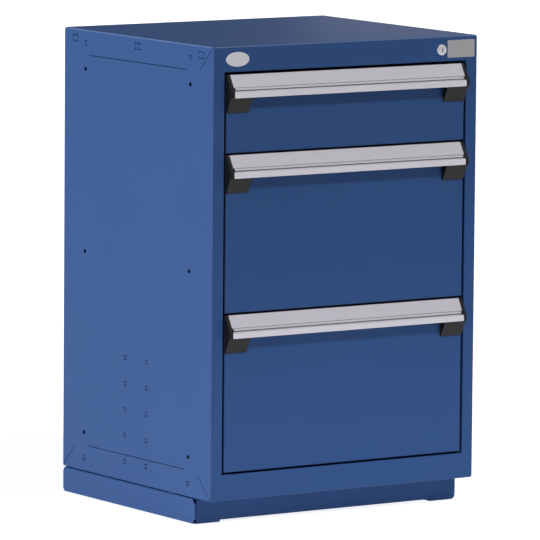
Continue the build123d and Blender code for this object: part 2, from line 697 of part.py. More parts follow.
def handle(z_top):
    """Aluminium pull: a web on the drawer front, a slanted label face and a lip to grip from below."""
    under_label = LABEL_PROUD + HANDLE_WALL
    under_groove = GROOVE_DEPTH + HANDLE_WALL
    lip_corners = [
        handle_point(z_top, LIP_REACH, LIP_START),
        handle_point(z_top, LIP_REACH, LIP_DROP),
        handle_point(z_top, LIP_IN, LIP_DROP),
    ]
    points = [
        handle_point(z_top, 0, 0),
        handle_point(z_top, HANDLE_TOP_REACH, 0),
        slant_point(z_top, LABEL_DROP, 0),
        slant_point(z_top, LABEL_DROP, LABEL_PROUD),
        slant_point(z_top, GROOVE_TOP, LABEL_PROUD),
        slant_point(z_top, GROOVE_TOP, GROOVE_DEPTH),
        slant_point(z_top, GROOVE_LOW, GROOVE_DEPTH),
        slant_point(z_top, GROOVE_LOW, 0),
        *lip_corners,
        handle_point(z_top, LIP_IN, slant_drop(LIP_IN, under_groove)),
        slant_point(z_top, GROOVE_TOP - HANDLE_WALL, under_groove),
        slant_point(z_top, LABEL_DROP, under_label),
        handle_point(z_top, HANDLE_WALL, slant_drop(HANDLE_WALL, under_label)),
        handle_point(z_top, HANDLE_WALL, WEB_DROP),
        handle_point(z_top, 0, WEB_DROP),
    ]
    rounds = [(*corner, LIP_ROUND) for corner in lip_corners]
    pull = x_extrusion(points, -HANDLE_X, HANDLE_X, rounds)
    label_y, label_z = slant_point(z_top, LABEL_DROP / 2, 0)
    ends = [pull.edges().sort_by_distance(Vector(x, label_y, label_z))[0] for x in (-HANDLE_X, HANDLE_X)]
    pull = chamfer(ends, PULL_CHAMFER)
    y0 = FACE_Y - LIP_REACH - LIP_T
    y1 = FACE_Y - LIP_IN
    cuts = [corner_cut(LIP_END_ROUND, HANDLE_X, z_top - LIP_DROP, -1, y0, y1)]
    cuts.append(corner_cut(LIP_END_ROUND, HANDLE_X, z_top - GROOVE_LOW, 1, y0, y1))
    cuts.append(x_extrusion(tab_outline(z_top, 0, 0), HANDLE_X - CAP_TAB, DRAWER_X))
    z = z_top - HANDLE_SCREW_DROP
    hole_r = HANDLE_SCREW_R + HANDLE_SCREW_CLEAR
    holes = [rod_y(hole_r, FACE_Y - 2 * HANDLE_WALL, FACE_Y + HANDLE_WALL, x, z) for x in handle_screw_xs()]
    return pull - [side for cut in cuts for side in both_sides(cut)] - holes


def tab_outline(z_top, sink, fit):
    """Outline of the cap's tab, which closes the end of the pull's groove."""
    top = LABEL_DROP + CAP_TAB_SINK + fit
    low = GROOVE_LOW - fit
    depth = GROOVE_DEPTH - fit
    corners = ((top, sink), (low, sink), (low, depth), (top, depth))
    return [slant_point(z_top, drop, deep) for drop, deep in corners]


def handle_cap(z_top):
    """Right end cap: end wall with a sunk outer face, a tab into the groove and a finger block."""
    lip_corners = [handle_point(z_top, LIP_REACH, LIP_START), handle_point(z_top, LIP_REACH, LIP_DROP)]
    wall = [
        handle_point(z_top, 0, 0),
        handle_point(z_top, HANDLE_TOP_REACH, 0),
        *lip_corners,
        handle_point(z_top, BLOCK_REACH, LIP_DROP),
        handle_point(z_top, BLOCK_TOE, BLOCK_DROP),
        handle_point(z_top, 0, BLOCK_DROP),
    ]
    rounds = [(*corner, LIP_ROUND) for corner in lip_corners]
    cap = x_extrusion(wall, HANDLE_X, CAP_X, rounds)
    y0 = FACE_Y - LIP_REACH - LIP_T
    cap -= corner_cut(CAP_LIP_ROUND, CAP_X, z_top - LIP_DROP, -1, y0, FACE_Y - BLOCK_REACH)
    top_drop = WEB_DROP + BLOCK_GAP
    finger_block = [
        handle_point(z_top, 0, top_drop),
        handle_point(z_top, BLOCK_REACH, top_drop),
        handle_point(z_top, BLOCK_REACH, LIP_DROP),
        handle_point(z_top, BLOCK_TOE, BLOCK_DROP),
        handle_point(z_top, 0, BLOCK_DROP),
    ]
    cap += x_extrusion(finger_block, CAP_X - BLOCK_WIDTH, CAP_X)
    cap += x_extrusion(tab_outline(z_top, CAP_TAB_SINK, CAP_FIT), HANDLE_X - CAP_TAB + CAP_FIT, HANDLE_X)
    panel = offset(make_face(Polyline(*wall, close=True)), -CAP_RIM, kind=Kind.INTERSECTION)
    return cap - Pos(CAP_X - CAP_SINK, 0, 0) * extrude(Plane.YZ * panel, CAP_WALL)


def handle_screws(z_top):
    """Pan-head screws through the pull's web and the drawer front, each with its nut."""
    z = z_top - HANDLE_SCREW_DROP
    y_head = FACE_Y - HANDLE_WALL
    y_nut = FACE_Y + SHEET
    y_end = y_nut + HANDLE_NUT_T + HANDLE_SCREW_TAIL
    solids = []
    for x in handle_screw_xs():
        screw = rod_y(HANDLE_SCREW_HEAD_R, y_head - HANDLE_SCREW_HEAD_T, y_head, x, z)
        screw += rod_y(HANDLE_SCREW_R, y_head, y_end, x, z)
        nut = hexagon_y(HANDLE_NUT_R, y_nut, y_nut + HANDLE_NUT_T, x, z)
        nut -= rod_y(HANDLE_SCREW_R + PIN_FIT, y_nut - SHEET, y_end, x, z)
        solids += [screw, nut]
    return solids


def lock_catch(name):
    """Bracket on the drawer's right side; the raised lock bar blocks its lug."""
    z0 = catch_z(name)
    z1 = z0 + CATCH_HEIGHT
    lug = block(BOX_X, OPEN_X - CATCH_SIDE_GAP, CATCH_Y0, CATCH_Y0 + CATCH_T, z0, z1)
    return lug + block(BOX_X, BOX_X + CATCH_FOOT_T, CATCH_Y0, CATCH_Y0 + CATCH_FOOT, z0, z1)


# Lock
def lock_housing():
    ring = rod_y(LOCK_RING_R, FRONT_Y - LOCK_RING_T, FRONT_Y, LOCK_X, LOCK_Z)
    front = ring.edges().filter_by(GeomType.CIRCLE).sort_by(Axis.Y)[0]
    ring = fillet(front, LOCK_RING_T / 2)
    body = ring + rod_y(LOCK_BARREL_R, FRONT_Y, FRONT_Y + LOCK_BARREL_LENGTH, LOCK_X, LOCK_Z)
    bore_y0 = FRONT_Y - 2 * LOCK_RING_T
    return body - rod_y(PLUG_R + PLUG_FIT, bore_y0, FRONT_Y + 2 * LOCK_BARREL_LENGTH, LOCK_X, LOCK_Z)


def lock_nut():
    y0 = FRONT_Y + SHEET
    nut = hexagon_y(LOCK_NUT_R, y0, y0 + LOCK_NUT_T, LOCK_X, LOCK_Z)
    return nut - rod_y(LOCK_BARREL_R + LOCK_BARREL_CLEAR, FRONT_Y, y0 + 2 * LOCK_NUT_T, LOCK_X, LOCK_Z)


def lock_plug():
    """Plug with its key slot, and a threaded hole for the cam's screw at the rear."""
    y0 = FRONT_Y - LOCK_RING_T - PLUG_PROUD
    plug = rod_y(PLUG_R, y0, CAM_Y0, LOCK_X, LOCK_Z)
    front = plug.edges().filter_by(GeomType.CIRCLE).sort_by(Axis.Y)[0]
    plug = fillet(front, PLUG_PROUD / 2)
    half_w = KEY_SLOT_WIDTH / 2
    half_h = KEY_SLOT_HEIGHT / 2
    x, z = LOCK_X, LOCK_Z
    plug -= block(x - half_w, x + half_w, y0 - KEY_SLOT_DEPTH, y0 + KEY_SLOT_DEPTH, z - half_h, z + half_h)
    return plug - rod_y(CAM_SCREW_R + PIN_FIT, CAM_Y0 - CAM_SCREW_DEPTH, CAM_Y0 + CAM_T, x, z)


def cam_pin_place():
    angle = radians(CAM_START_DEG)
    return LOCK_X + CAM_THROW * cos(angle), LOCK_Z + CAM_THROW * sin(angle)


def lock_cam():
    """Round hub behind the plug with an eccentric pin that drives the lock bar."""
    x, z = cam_pin_place()
    y1 = CAM_Y0 + CAM_T
    cam = rod_y(CAM_HUB_R, CAM_Y0, y1, LOCK_X, LOCK_Z)
    cam += rod_y(CAM_PIN_R * 2, CAM_Y0, y1, x, z)
    cam += rod_y(CAM_PIN_R, y1, BAR_Y1 + CAM_PIN_REACH, x, z)
    return cam - rod_y(CAM_SCREW_R + PIN_FIT, CAM_Y0 - CAM_T, y1 + CAM_T, LOCK_X, LOCK_Z)


def cam_screw():
    y1 = CAM_Y0 + CAM_T
    screw = rod_y(CAM_SCREW_HEAD_R, y1, y1 + CAM_SCREW_HEAD_T, LOCK_X, LOCK_Z)
    return screw + rod_y(CAM_SCREW_R, y1 - CAM_T - CAM_SCREW_DEPTH, y1, LOCK_X, LOCK_Z)


def lock_bar():
    """Flat bar behind the right stile: an arm to the lock's cam and one tab for each drawer."""
    pin_x, pin_z = cam_pin_place()
    arm_top = pin_z + BAR_ARM_HEIGHT / 2
    arm_low = pin_z - BAR_ARM_HEIGHT / 2
    half_slot = CAM_PIN_R + BAR_SLOT_CLEAR
    slot_x0 = pin_x - half_slot
    slot_x1 = LOCK_X + CAM_THROW + half_slot
    bar_low = slide_z("bottom") - BAR_TAIL
    bar = block(BAR_X0, BAR_X1, BAR_Y0, BAR_Y1, bar_low, arm_top)
    bar += block(slot_x0 - BAR_ARM_END, BAR_X0, BAR_Y0, BAR_Y1, arm_low, arm_top)
    for name in LEVELS:
        tab_top = catch_z(name) - CATCH_LIFT
        bar += block(BAR_X0 - BAR_TAB_REACH, BAR_X0, BAR_Y0, BAR_Y1, tab_top - BAR_TAB_HEIGHT, tab_top)
    slot_z0 = pin_z - half_slot
    slot_z1 = pin_z + half_slot
    return bar - block(slot_x0, slot_x1, BAR_Y0 - BAR_T, BAR_Y1 + BAR_T, slot_z0, slot_z1)


def bar_guide(z):
    """Block on the side panel with a slot that the lock bar slides through."""
    half = GUIDE_HEIGHT / 2
    clear = GUIDE_CLEAR
    y0 = BAR_Y0 - clear
    y1 = BAR_Y1 + clear
    guide = block(BAR_X0 - clear - GUIDE_WALL, WALL_X, y0 - GUIDE_WALL, y1 + GUIDE_WALL, z - half, z + half)
    return guide - block(BAR_X0 - clear, BAR_X1 + clear, y0, y1, z - GUIDE_HEIGHT, z + GUIDE_HEIGHT)


# Blank plates
def badge():
    """Blank oval badge on the top rail, slightly domed at its edge."""
    oval = extrude(Ellipse(BADGE_LENGTH / 2, BADGE_HEIGHT / 2), BADGE_T)
    oval = fillet(oval.edges().sort_by(Axis.Z)[-1], BADGE_T / 2)
    return Pos(BADGE_FROM_SIDE - HALF_W, FRONT_Y, RAIL_MID_Z) * Rot(90, 0, 0) * oval


def data_plate():
    """Blank plate at the right end of the top rail."""
    half = PLATE_HEIGHT / 2
    plate = block(PLATE_X0, PLATE_X1, FRONT_Y - PLATE_T, FRONT_Y, RAIL_MID_Z - half, RAIL_MID_Z + half)
    return fillet(plate.edges().filter_by(Axis.Y), PLATE_ROUND)


# Writing the nodes
os.makedirs("parts", exist_ok=True)

right_panel = side_panel()
save("right_side_panel", right_panel)
save("left_side_panel", mirrored(right_panel))
save("top_panel", top_panel())
save("bottom_panel", bottom_panel())
save("back_panel", back_panel())

right_channel = base_channel()
save("base_right_channel", right_channel)
save("base_left_channel", mirrored(right_channel))
save("base_front_plate", base_plate(FRONT_Y + BASE_RECESS, 1))
save("base_rear_plate", base_plate(BACK_Y, -1))
save("base_bolts", *base_bolts())

save("front_posts", *both_sides(post(POST_YS[0])))
save("rear_posts", *both_sides(post(POST_YS[1])))
save("rail_screws", *rail_screws())
save("fixed_rails", *[rail for name in LEVELS for rail in both_sides(fixed_rail(slide_z(name)))])

for name, (level_top, level_bottom) in LEVELS.items():
    handle_top = level_top - FRONT_GAP
    slide = slide_z(name)
    save(f"{name}_drawer_front", drawer_front(level_top, level_bottom))
    save(f"{name}_drawer_box", drawer_box(level_top, level_bottom))
    save(f"{name}_handle", handle(handle_top))
    save(f"{name}_handle_caps", *both_sides(handle_cap(handle_top)))
    save(f"{name}_handle_screws", *handle_screws(handle_top))
    save(f"{name}_runners", *both_sides(runner(slide)))
    save(f"{name}_lock_catch", lock_catch(name))
    save(f"{name}_carriages", *both_sides(carriage(slide)))
    save(f"{name}_axle_pins", *[pin for line in AXLE_YS for pin in both_sides(axle_pin(line, slide))])
    for line in AXLE_YS:
        save(f"{name}_{line}_rollers", *rollers(line, slide))

save("lock_housing", lock_housing())
save("lock_nut", lock_nut())
save("lock_plug", lock_plug())
save("lock_cam", lock_cam())
save("lock_cam_screw", cam_screw())
save("lock_bar", lock_bar())
guide_levels = (slide_z("bottom") + GUIDE_RISE, slide_z("middle") + GUIDE_RISE)
save("lock_bar_guides", *[bar_guide(z) for z in guide_levels])
save("blank_badge", badge())
save("blank_data_plate", data_plate())
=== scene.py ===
# Modular drawer cabinet: the finish of every piece, in the order in which the cabinet is put together,
# and then the studio and the camera.
import math

import bmesh
import bpy
from mathutils import Matrix, Vector


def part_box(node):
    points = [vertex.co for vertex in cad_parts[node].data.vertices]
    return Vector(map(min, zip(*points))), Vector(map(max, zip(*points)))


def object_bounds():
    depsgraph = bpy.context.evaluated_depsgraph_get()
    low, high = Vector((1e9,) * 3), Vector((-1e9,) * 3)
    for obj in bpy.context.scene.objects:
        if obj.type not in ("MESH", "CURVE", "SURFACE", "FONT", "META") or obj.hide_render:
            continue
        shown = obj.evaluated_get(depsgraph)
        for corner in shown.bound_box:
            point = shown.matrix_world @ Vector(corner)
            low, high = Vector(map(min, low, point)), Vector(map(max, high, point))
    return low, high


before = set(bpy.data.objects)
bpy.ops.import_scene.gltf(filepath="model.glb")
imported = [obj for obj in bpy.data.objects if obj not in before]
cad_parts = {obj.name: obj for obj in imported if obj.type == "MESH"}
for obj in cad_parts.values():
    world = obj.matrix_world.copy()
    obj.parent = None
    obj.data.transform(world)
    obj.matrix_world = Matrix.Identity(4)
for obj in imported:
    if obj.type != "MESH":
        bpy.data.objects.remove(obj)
cad_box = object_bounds()


# Base: two folded steel channels with a plate between them at the front and at the rear.
# They are powder coated in the cabinet's blue and bolted up into the housing.
MM = 0.001
PAINT_TONES = ("#2A5390", "#2D5793")
PAINT_CLOUD = 180 * MM
PAINT_ROUGHNESS = (0.5, 0.6)
ORANGE_PEEL = 2.2 * MM
ORANGE_PEEL_DEPTH = 0.012 * MM
# Painted highlight: the top's upper folds are painted paler where they would catch light from above.
PAINTED_FOLD_HIGHLIGHT = "#6E89BA"
FOLD_HIGHLIGHT_BAND = 16.7 * MM
FOLD_HIGHLIGHT_SLOPE = (0.06, 0.22)
# Painted shade: the fronts are painted near black where another surface stands close, as shade in the gaps.
PAINTED_GAP_SHADE = "#050A12"
GAP_SHADE_REACH = 10 * MM
GAP_SHADE_OPENNESS = (0.9, 0.5)
ZINC_TONES = ("#B9BCC2", "#C9C8BF")
ZINC_BLOOM = 14 * MM
ZINC_ROUGHNESS = (0.28, 0.46)


def linear(colour):
    """Linear RGBA of an sRGB hex colour."""
    parts = [int(colour[i:i + 2], 16) / 255 for i in (1, 3, 5)]
    return (*[c / 12.92 if c <= 0.04045 else ((c + 0.055) / 1.055) ** 2.4 for c in parts], 1.0)


def add(tree, kind, inputs=None, out=None, **settings):
    """Adds a node and gives back the named output, or its first; an input is a value or an output."""
    node = tree.nodes.new(kind)
    for name, value in settings.items():
        setattr(node, name, value)
    for name, value in (inputs or {}).items():
        socket = node.inputs[name] if isinstance(name, int) else next(
            s for s in node.inputs if s.enabled and s.name == name)
        if isinstance(value, bpy.types.NodeSocket):
            tree.links.new(value, socket)
        else:
            socket.default_value = value
    shown = [s for s in node.outputs if s.enabled and out in (None, s.name)]
    return shown[0] if shown else node


def new_finish(name):
    """An empty material, its node tree and the place on the piece in metres."""
    material = bpy.data.materials.new(name)
    material.use_nodes = True
    tree = material.node_tree
    tree.nodes.clear()
    place = add(tree, "ShaderNodeTexCoord", out="Object")
    return material, tree, place


def dress(material, *names):
    """Gives a finish to carried-over pieces."""
    for name in names:
        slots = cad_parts[name].data.materials
        slots.clear()
        slots.append(material)


def satin_powder_coat(name, shaded_gaps):
    """Polyester powder baked on steel: an even satin colour with faint clouds and low orange-peel waves.
    Along the folds of the top it is painted paler, a painted highlight where the folds would catch light.
    With the gap switch on, it is painted near black where another surface stands close in front of it, as
    painted shade in the gaps."""
    material, tree, place = new_finish(name)
    cloud = add(tree, "ShaderNodeTexNoise", {"Vector": place, "Scale": 1 / PAINT_CLOUD, "Detail": 3.0})
    colour = add(tree, "ShaderNodeMix", {
        "Factor": cloud, "A": linear(PAINT_TONES[0]), "B": linear(PAINT_TONES[1])}, data_type="RGBA")
    facing = add(tree, "ShaderNodeNewGeometry", out="Normal")
    upward = add(tree, "ShaderNodeSeparateXYZ", {"Vector": facing}, out="Z")
    outward = add(tree, "ShaderNodeMath", {0: 1.0, 1: upward}, operation="SUBTRACT")
    slope = add(tree, "ShaderNodeMath", {0: upward, 1: outward}, operation="MULTIPLY")
    height = add(tree, "ShaderNodeSeparateXYZ", {"Vector": place}, out="Z")
    # Painted highlight on the folds of the top, picked by how steeply the surface faces up.
    fold_highlight_above = cad_box[1][2] - FOLD_HIGHLIGHT_BAND
    at_top = add(tree, "ShaderNodeMath", {0: height, 1: fold_highlight_above}, operation="GREATER_THAN")
    fold = add(tree, "ShaderNodeMath", {0: slope, 1: at_top}, operation="MULTIPLY")
    painted_highlight = add(tree, "ShaderNodeMapRange", {
        "Value": fold, "From Min": FOLD_HIGHLIGHT_SLOPE[0], "From Max": FOLD_HIGHLIGHT_SLOPE[1]})
    colour = add(tree, "ShaderNodeMix", {
        "Factor": painted_highlight, "A": colour, "B": linear(PAINTED_FOLD_HIGHLIGHT)}, data_type="RGBA")
    if shaded_gaps:
        # Painted shade in narrow gaps, from how close other surfaces stand.
        openness = add(tree, "ShaderNodeAmbientOcclusion", {"Distance": GAP_SHADE_REACH}, out="AO", samples=4)
        gap_shade = add(tree, "ShaderNodeMapRange", {
            "Value": openness, "From Min": GAP_SHADE_OPENNESS[0], "From Max": GAP_SHADE_OPENNESS[1]})
        colour = add(tree, "ShaderNodeMix", {
            "Factor": gap_shade, "A": colour, "B": linear(PAINTED_GAP_SHADE)}, data_type="RGBA")
    waves = add(tree, "ShaderNodeTexNoise", {"Vector": place, "Scale": 1 / ORANGE_PEEL, "Detail": 1.0})
    gloss = add(tree, "ShaderNodeMapRange", {
        "Value": waves, "To Min": PAINT_ROUGHNESS[0], "To Max": PAINT_ROUGHNESS[1]})
    relief = add(tree, "ShaderNodeBump", {"Height": waves, "Strength": 1.0, "Distance": ORANGE_PEEL_DEPTH})
    coat = add(tree, "ShaderNodeBsdfPrincipled", {
        "Base Color": colour, "Roughness": gloss, "Normal": relief, "Specular IOR Level": 0.4})
    add(tree, "ShaderNodeOutputMaterial", {"Surface": coat})
    return material


def bright_zinc_plate(name):
    """Zinc-plated steel: a dull silver mirror with a faint bluish and yellowish bloom in small patches."""
    material, tree, place = new_finish(name)
    bloom = add(tree, "ShaderNodeTexNoise", {"Vector": place, "Scale": 1 / ZINC_BLOOM, "Detail": 4.0})
    colour = add(tree, "ShaderNodeMix", {
        "Factor": bloom, "A": linear(ZINC_TONES[0]), "B": linear(ZINC_TONES[1])}, data_type="RGBA")
    gloss = add(tree, "ShaderNodeMapRange", {
        "Value": bloom, "To Min": ZINC_ROUGHNESS[0], "To Max": ZINC_ROUGHNESS[1]})
    plate = add(tree, "ShaderNodeBsdfPrincipled", {
        "Base Color": colour, "Metallic": 1.0, "Roughness": gloss})
    add(tree, "ShaderNodeOutputMaterial", {"Surface": plate})
    return material


blue_paint = satin_powder_coat("satin_powder_coat_blue", shaded_gaps=False)
zinc_plate = bright_zinc_plate("zinc_plated_steel")
dress(blue_paint, "base_left_channel", "base_right_channel", "base_front_plate", "base_rear_plate")
dress(zinc_plate, "base_bolts")


# Housing: side panels, top, bottom and back, folded from 1.5 mm sheet and welded.
# They carry the same powder coat, also on their inner faces.
dress(blue_paint, "left_side_panel", "right_side_panel", "top_panel", "bottom_panel", "back_panel")


# Posts and fixed rails: slotted channels welded inside the side panels and coated with them.
# The roll-formed rails of zinc-plated steel are screwed to the posts.
dress(blue_paint, "front_posts", "rear_posts")
dress(zinc_plate, "fixed_rails", "rail_screws")


# Carriages: stamped plates with riveted axle pins, and rollers moulded in white nylon.
# They roll between the fixed rails and the runners on the drawers.
DRAWERS = ("top", "middle", "bottom")
AXLE_LINES = ("front", "middle", "rear")
NYLON_TONES = ("#E2DFD6", "#EBE9E2")
NYLON_FLOW = 6 * MM
NYLON_ROUGHNESS = (0.38, 0.5)


def moulded_nylon(name):
    """White nylon as it comes from the mould: slightly waxy, with a faint flow pattern."""
    material, tree, place = new_finish(name)
    flow = add(tree, "ShaderNodeTexNoise", {"Vector": place, "Scale": 1 / NYLON_FLOW, "Detail": 2.0})
    colour = add(tree, "ShaderNodeMix", {
        "Factor": flow, "A": linear(NYLON_TONES[0]), "B": linear(NYLON_TONES[1])}, data_type="RGBA")
    gloss = add(tree, "ShaderNodeMapRange", {
        "Value": flow, "To Min": NYLON_ROUGHNESS[0], "To Max": NYLON_ROUGHNESS[1]})
    skin = add(tree, "ShaderNodeBsdfPrincipled", {"Base Color": colour, "Roughness": gloss, "IOR": 1.53})
    add(tree, "ShaderNodeOutputMaterial", {"Surface": skin})
    return material


nylon = moulded_nylon("moulded_nylon_white")
for drawer in DRAWERS:
    dress(zinc_plate, f"{drawer}_carriages", f"{drawer}_axle_pins")
    dress(nylon, *[f"{drawer}_{line}_rollers" for line in AXLE_LINES])


# Drawers: a folded front pan and a hemmed sheet box, powder coated like the housing.
# Their edges are painted near black where another surface stands close, as painted shade in the gaps; the
# zinc-plated runners and lock catch are welded to the box.
front_paint = satin_powder_coat("satin_powder_coat_blue_fronts", shaded_gaps=True)
for drawer in DRAWERS:
    dress(front_paint, f"{drawer}_drawer_front")
    dress(blue_paint, f"{drawer}_drawer_box")
    dress(zinc_plate, f"{drawer}_runners", f"{drawer}_lock_catch", f"{drawer}_handle_screws")


# Pull handles: aluminium extrusions as wide as the drawer, satin anodised and screwed to its front.
# Black moulded caps close their ends and reach down as finger blocks.
ALUMINIUM_TONES = ("#C9C6CD", "#D5D2D9")
ALUMINIUM_ROUGHNESS = (0.66, 0.76)
DIE_LINE = 1.6 * MM
DIE_LINE_LENGTH = 260 * MM
DIE_LINE_DEPTH = 0.02 * MM
# Painted highlight on the front-facing lip, and painted shade in the groove and hollows:
PAINTED_LIP_HIGHLIGHT = "#DEDCE3"
LIP_HIGHLIGHT_FACING = (-0.9, -0.99)
PAINTED_GROOVE_SHADE = "#4C4A4E"
GROOVE_SHADE_REACH = 4 * MM
GROOVE_SHADE_OPENNESS = (0.85, 0.4)
ABS_TONES = ("#0F0F10", "#161618")
ABS_GRAIN = 0.9 * MM
ABS_GRAIN_DEPTH = 0.02 * MM
ABS_ROUGHNESS = (0.36, 0.5)


def satin_anodised_aluminium(name):
    """Extruded and satin-anodised aluminium: a soft silver with fine lines along the extrusion.
    The real lines are about 0.3 mm apart and are drawn coarser here, so that they show.
    The upright lip, facing the front, is painted brighter as a painted highlight, and the groove above it
    is painted dark as painted shade."""
    material, tree, place = new_finish(name)
    stretched = add(tree, "ShaderNodeMapping", {
        "Vector": place, "Scale": (1 / DIE_LINE_LENGTH, 1 / DIE_LINE, 1 / DIE_LINE)})
    lines = add(tree, "ShaderNodeTexNoise", {"Vector": stretched, "Scale": 1.0, "Detail": 2.0})
    colour = add(tree, "ShaderNodeMix", {
        "Factor": lines, "A": linear(ALUMINIUM_TONES[0]), "B": linear(ALUMINIUM_TONES[1])},
        data_type="RGBA")
    facing = add(tree, "ShaderNodeNewGeometry", out="Normal")
    along_depth = add(tree, "ShaderNodeSeparateXYZ", {"Vector": facing}, out="Y")
    # Painted highlight on faces turned to the front.
    painted_highlight = add(tree, "ShaderNodeMapRange", {
        "Value": along_depth, "From Min": LIP_HIGHLIGHT_FACING[0], "From Max": LIP_HIGHLIGHT_FACING[1]})
    colour = add(tree, "ShaderNodeMix", {
        "Factor": painted_highlight, "A": colour, "B": linear(PAINTED_LIP_HIGHLIGHT)}, data_type="RGBA")
    # Painted shade in the groove and other hollows, from how close other surfaces stand.
    openness = add(tree, "ShaderNodeAmbientOcclusion", {"Distance": GROOVE_SHADE_REACH}, out="AO", samples=4)
    groove_shade = add(tree, "ShaderNodeMapRange", {
        "Value": openness, "From Min": GROOVE_SHADE_OPENNESS[0], "From Max": GROOVE_SHADE_OPENNESS[1]})
    colour = add(tree, "ShaderNodeMix", {
        "Factor": groove_shade, "A": colour, "B": linear(PAINTED_GROOVE_SHADE)}, data_type="RGBA")
    gloss = add(tree, "ShaderNodeMapRange", {
        "Value": lines, "To Min": ALUMINIUM_ROUGHNESS[0], "To Max": ALUMINIUM_ROUGHNESS[1]})
    relief = add(tree, "ShaderNodeBump", {"Height": lines, "Strength": 1.0, "Distance": DIE_LINE_DEPTH})
    metal = add(tree, "ShaderNodeBsdfPrincipled", {
        "Base Color": colour, "Metallic": 1.0, "Roughness": gloss, "Normal": relief})
    add(tree, "ShaderNodeOutputMaterial", {"Surface": metal})
    return material


def moulded_black_abs(name):
    """Black ABS from a finely eroded mould: matt, with a grain that breaks up its highlights.
    The real grain is about 0.2 mm wide and is drawn coarser here, so that it shows."""
    material, tree, place = new_finish(name)
    grain = add(tree, "ShaderNodeTexNoise", {"Vector": place, "Scale": 1 / ABS_GRAIN, "Detail": 2.0})
    colour = add(tree, "ShaderNodeMix", {
        "Factor": grain, "A": linear(ABS_TONES[0]), "B": linear(ABS_TONES[1])}, data_type="RGBA")
    gloss = add(tree, "ShaderNodeMapRange", {
        "Value": grain, "To Min": ABS_ROUGHNESS[0], "To Max": ABS_ROUGHNESS[1]})
    relief = add(tree, "ShaderNodeBump", {"Height": grain, "Strength": 1.0, "Distance": ABS_GRAIN_DEPTH})
    plastic = add(tree, "ShaderNodeBsdfPrincipled", {
        "Base Color": colour, "Roughness": gloss, "Normal": relief, "Specular IOR Level": 0.25})
    add(tree, "ShaderNodeOutputMaterial", {"Surface": plastic})
    return material


aluminium = satin_anodised_aluminium("satin_anodised_aluminium")
black_abs = moulded_black_abs("moulded_black_abs")
for drawer in DRAWERS:
    dress(aluminium, f"{drawer}_handle")
    dress(black_abs, f"{drawer}_handle_caps")


# Lock: a die-cast zinc housing and plug, nickel plated, held by a nut behind the top rail.
# The cam on the plug lifts a steel bar that runs in two plastic guides behind the right stile.
NICKEL_TONES = ("#F6F4F8", "#FBFAFD")
NICKEL_PATCH = 3 * MM
NICKEL_ROUGHNESS = (0.3, 0.4)
TURNING_PITCH = 0.8 * MM
TURNING_DEPTH = 0.04 * MM
WAVE_TEXTURE_PITCH = math.pi / 10
# Painted shade inside the keyway and behind the plug.
PAINTED_KEYWAY_SHADE = "#232325"
KEYWAY_SHADE_FADE = 0.6 * MM
UNSHADED_FACE = 0.2 * MM


def turned_nickel(name, axis, keyway_shade_from):
    """Nickel plate on a turned face: bright, with fine rings around the lock's axis.
    The real rings are about 0.2 mm apart and are drawn coarser here, so that they show.
    Behind the given depth it is painted dark, as painted shade inside a keyway."""
    material, tree, place = new_finish(name)
    centred = add(tree, "ShaderNodeVectorMath", {0: place, 1: axis}, operation="SUBTRACT")
    rings = add(tree, "ShaderNodeTexWave", {"Vector": centred, "Scale": WAVE_TEXTURE_PITCH / TURNING_PITCH},
                out="Fac", wave_type="RINGS", rings_direction="Y")
    relief = add(tree, "ShaderNodeBump", {"Height": rings, "Strength": 1.0, "Distance": TURNING_DEPTH})
    patch = add(tree, "ShaderNodeTexNoise", {"Vector": place, "Scale": 1 / NICKEL_PATCH, "Detail": 2.0})
    colour = add(tree, "ShaderNodeMix", {
        "Factor": patch, "A": linear(NICKEL_TONES[0]), "B": linear(NICKEL_TONES[1])}, data_type="RGBA")
    depth = add(tree, "ShaderNodeSeparateXYZ", {"Vector": place}, out="Y")
    # Painted shade: dark behind the given depth, as inside the keyway.
    keyway_shade = add(tree, "ShaderNodeMapRange", {
        "Value": depth, "From Min": keyway_shade_from, "From Max": keyway_shade_from + KEYWAY_SHADE_FADE})
    colour = add(tree, "ShaderNodeMix", {
        "Factor": keyway_shade, "A": colour, "B": linear(PAINTED_KEYWAY_SHADE)}, data_type="RGBA")
    gloss = add(tree, "ShaderNodeMapRange", {
        "Value": patch, "To Min": NICKEL_ROUGHNESS[0], "To Max": NICKEL_ROUGHNESS[1]})
    nickel = add(tree, "ShaderNodeBsdfPrincipled", {
        "Base Color": colour, "Metallic": 1.0, "Roughness": gloss, "Normal": relief})
    add(tree, "ShaderNodeOutputMaterial", {"Surface": nickel})
    return material


plug_low, plug_high = (Vector(corner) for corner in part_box("lock_plug"))
lock_axis = (plug_low + plug_high) / 2
dress(turned_nickel("turned_nickel_ring", lock_axis, plug_high.y), "lock_housing")
dress(turned_nickel("turned_nickel_plug", lock_axis, plug_low.y + UNSHADED_FACE), "lock_plug")
dress(zinc_plate, "lock_nut", "lock_cam", "lock_cam_screw", "lock_bar")
dress(black_abs, "lock_bar_guides")


# Badge and data plate on the top rail: a domed oval of white enamel and a thin label of silver foil.
# Both are plain and stuck on.
ENAMEL_TONES = ("#F7F5FB", "#FBFAFF")
ENAMEL_CLOUD = 9 * MM
FOIL_TONES = ("#BEBABF", "#C9C5CA")
FOIL_LINE = 0.6 * MM
FOIL_LINE_LENGTH = 30 * MM


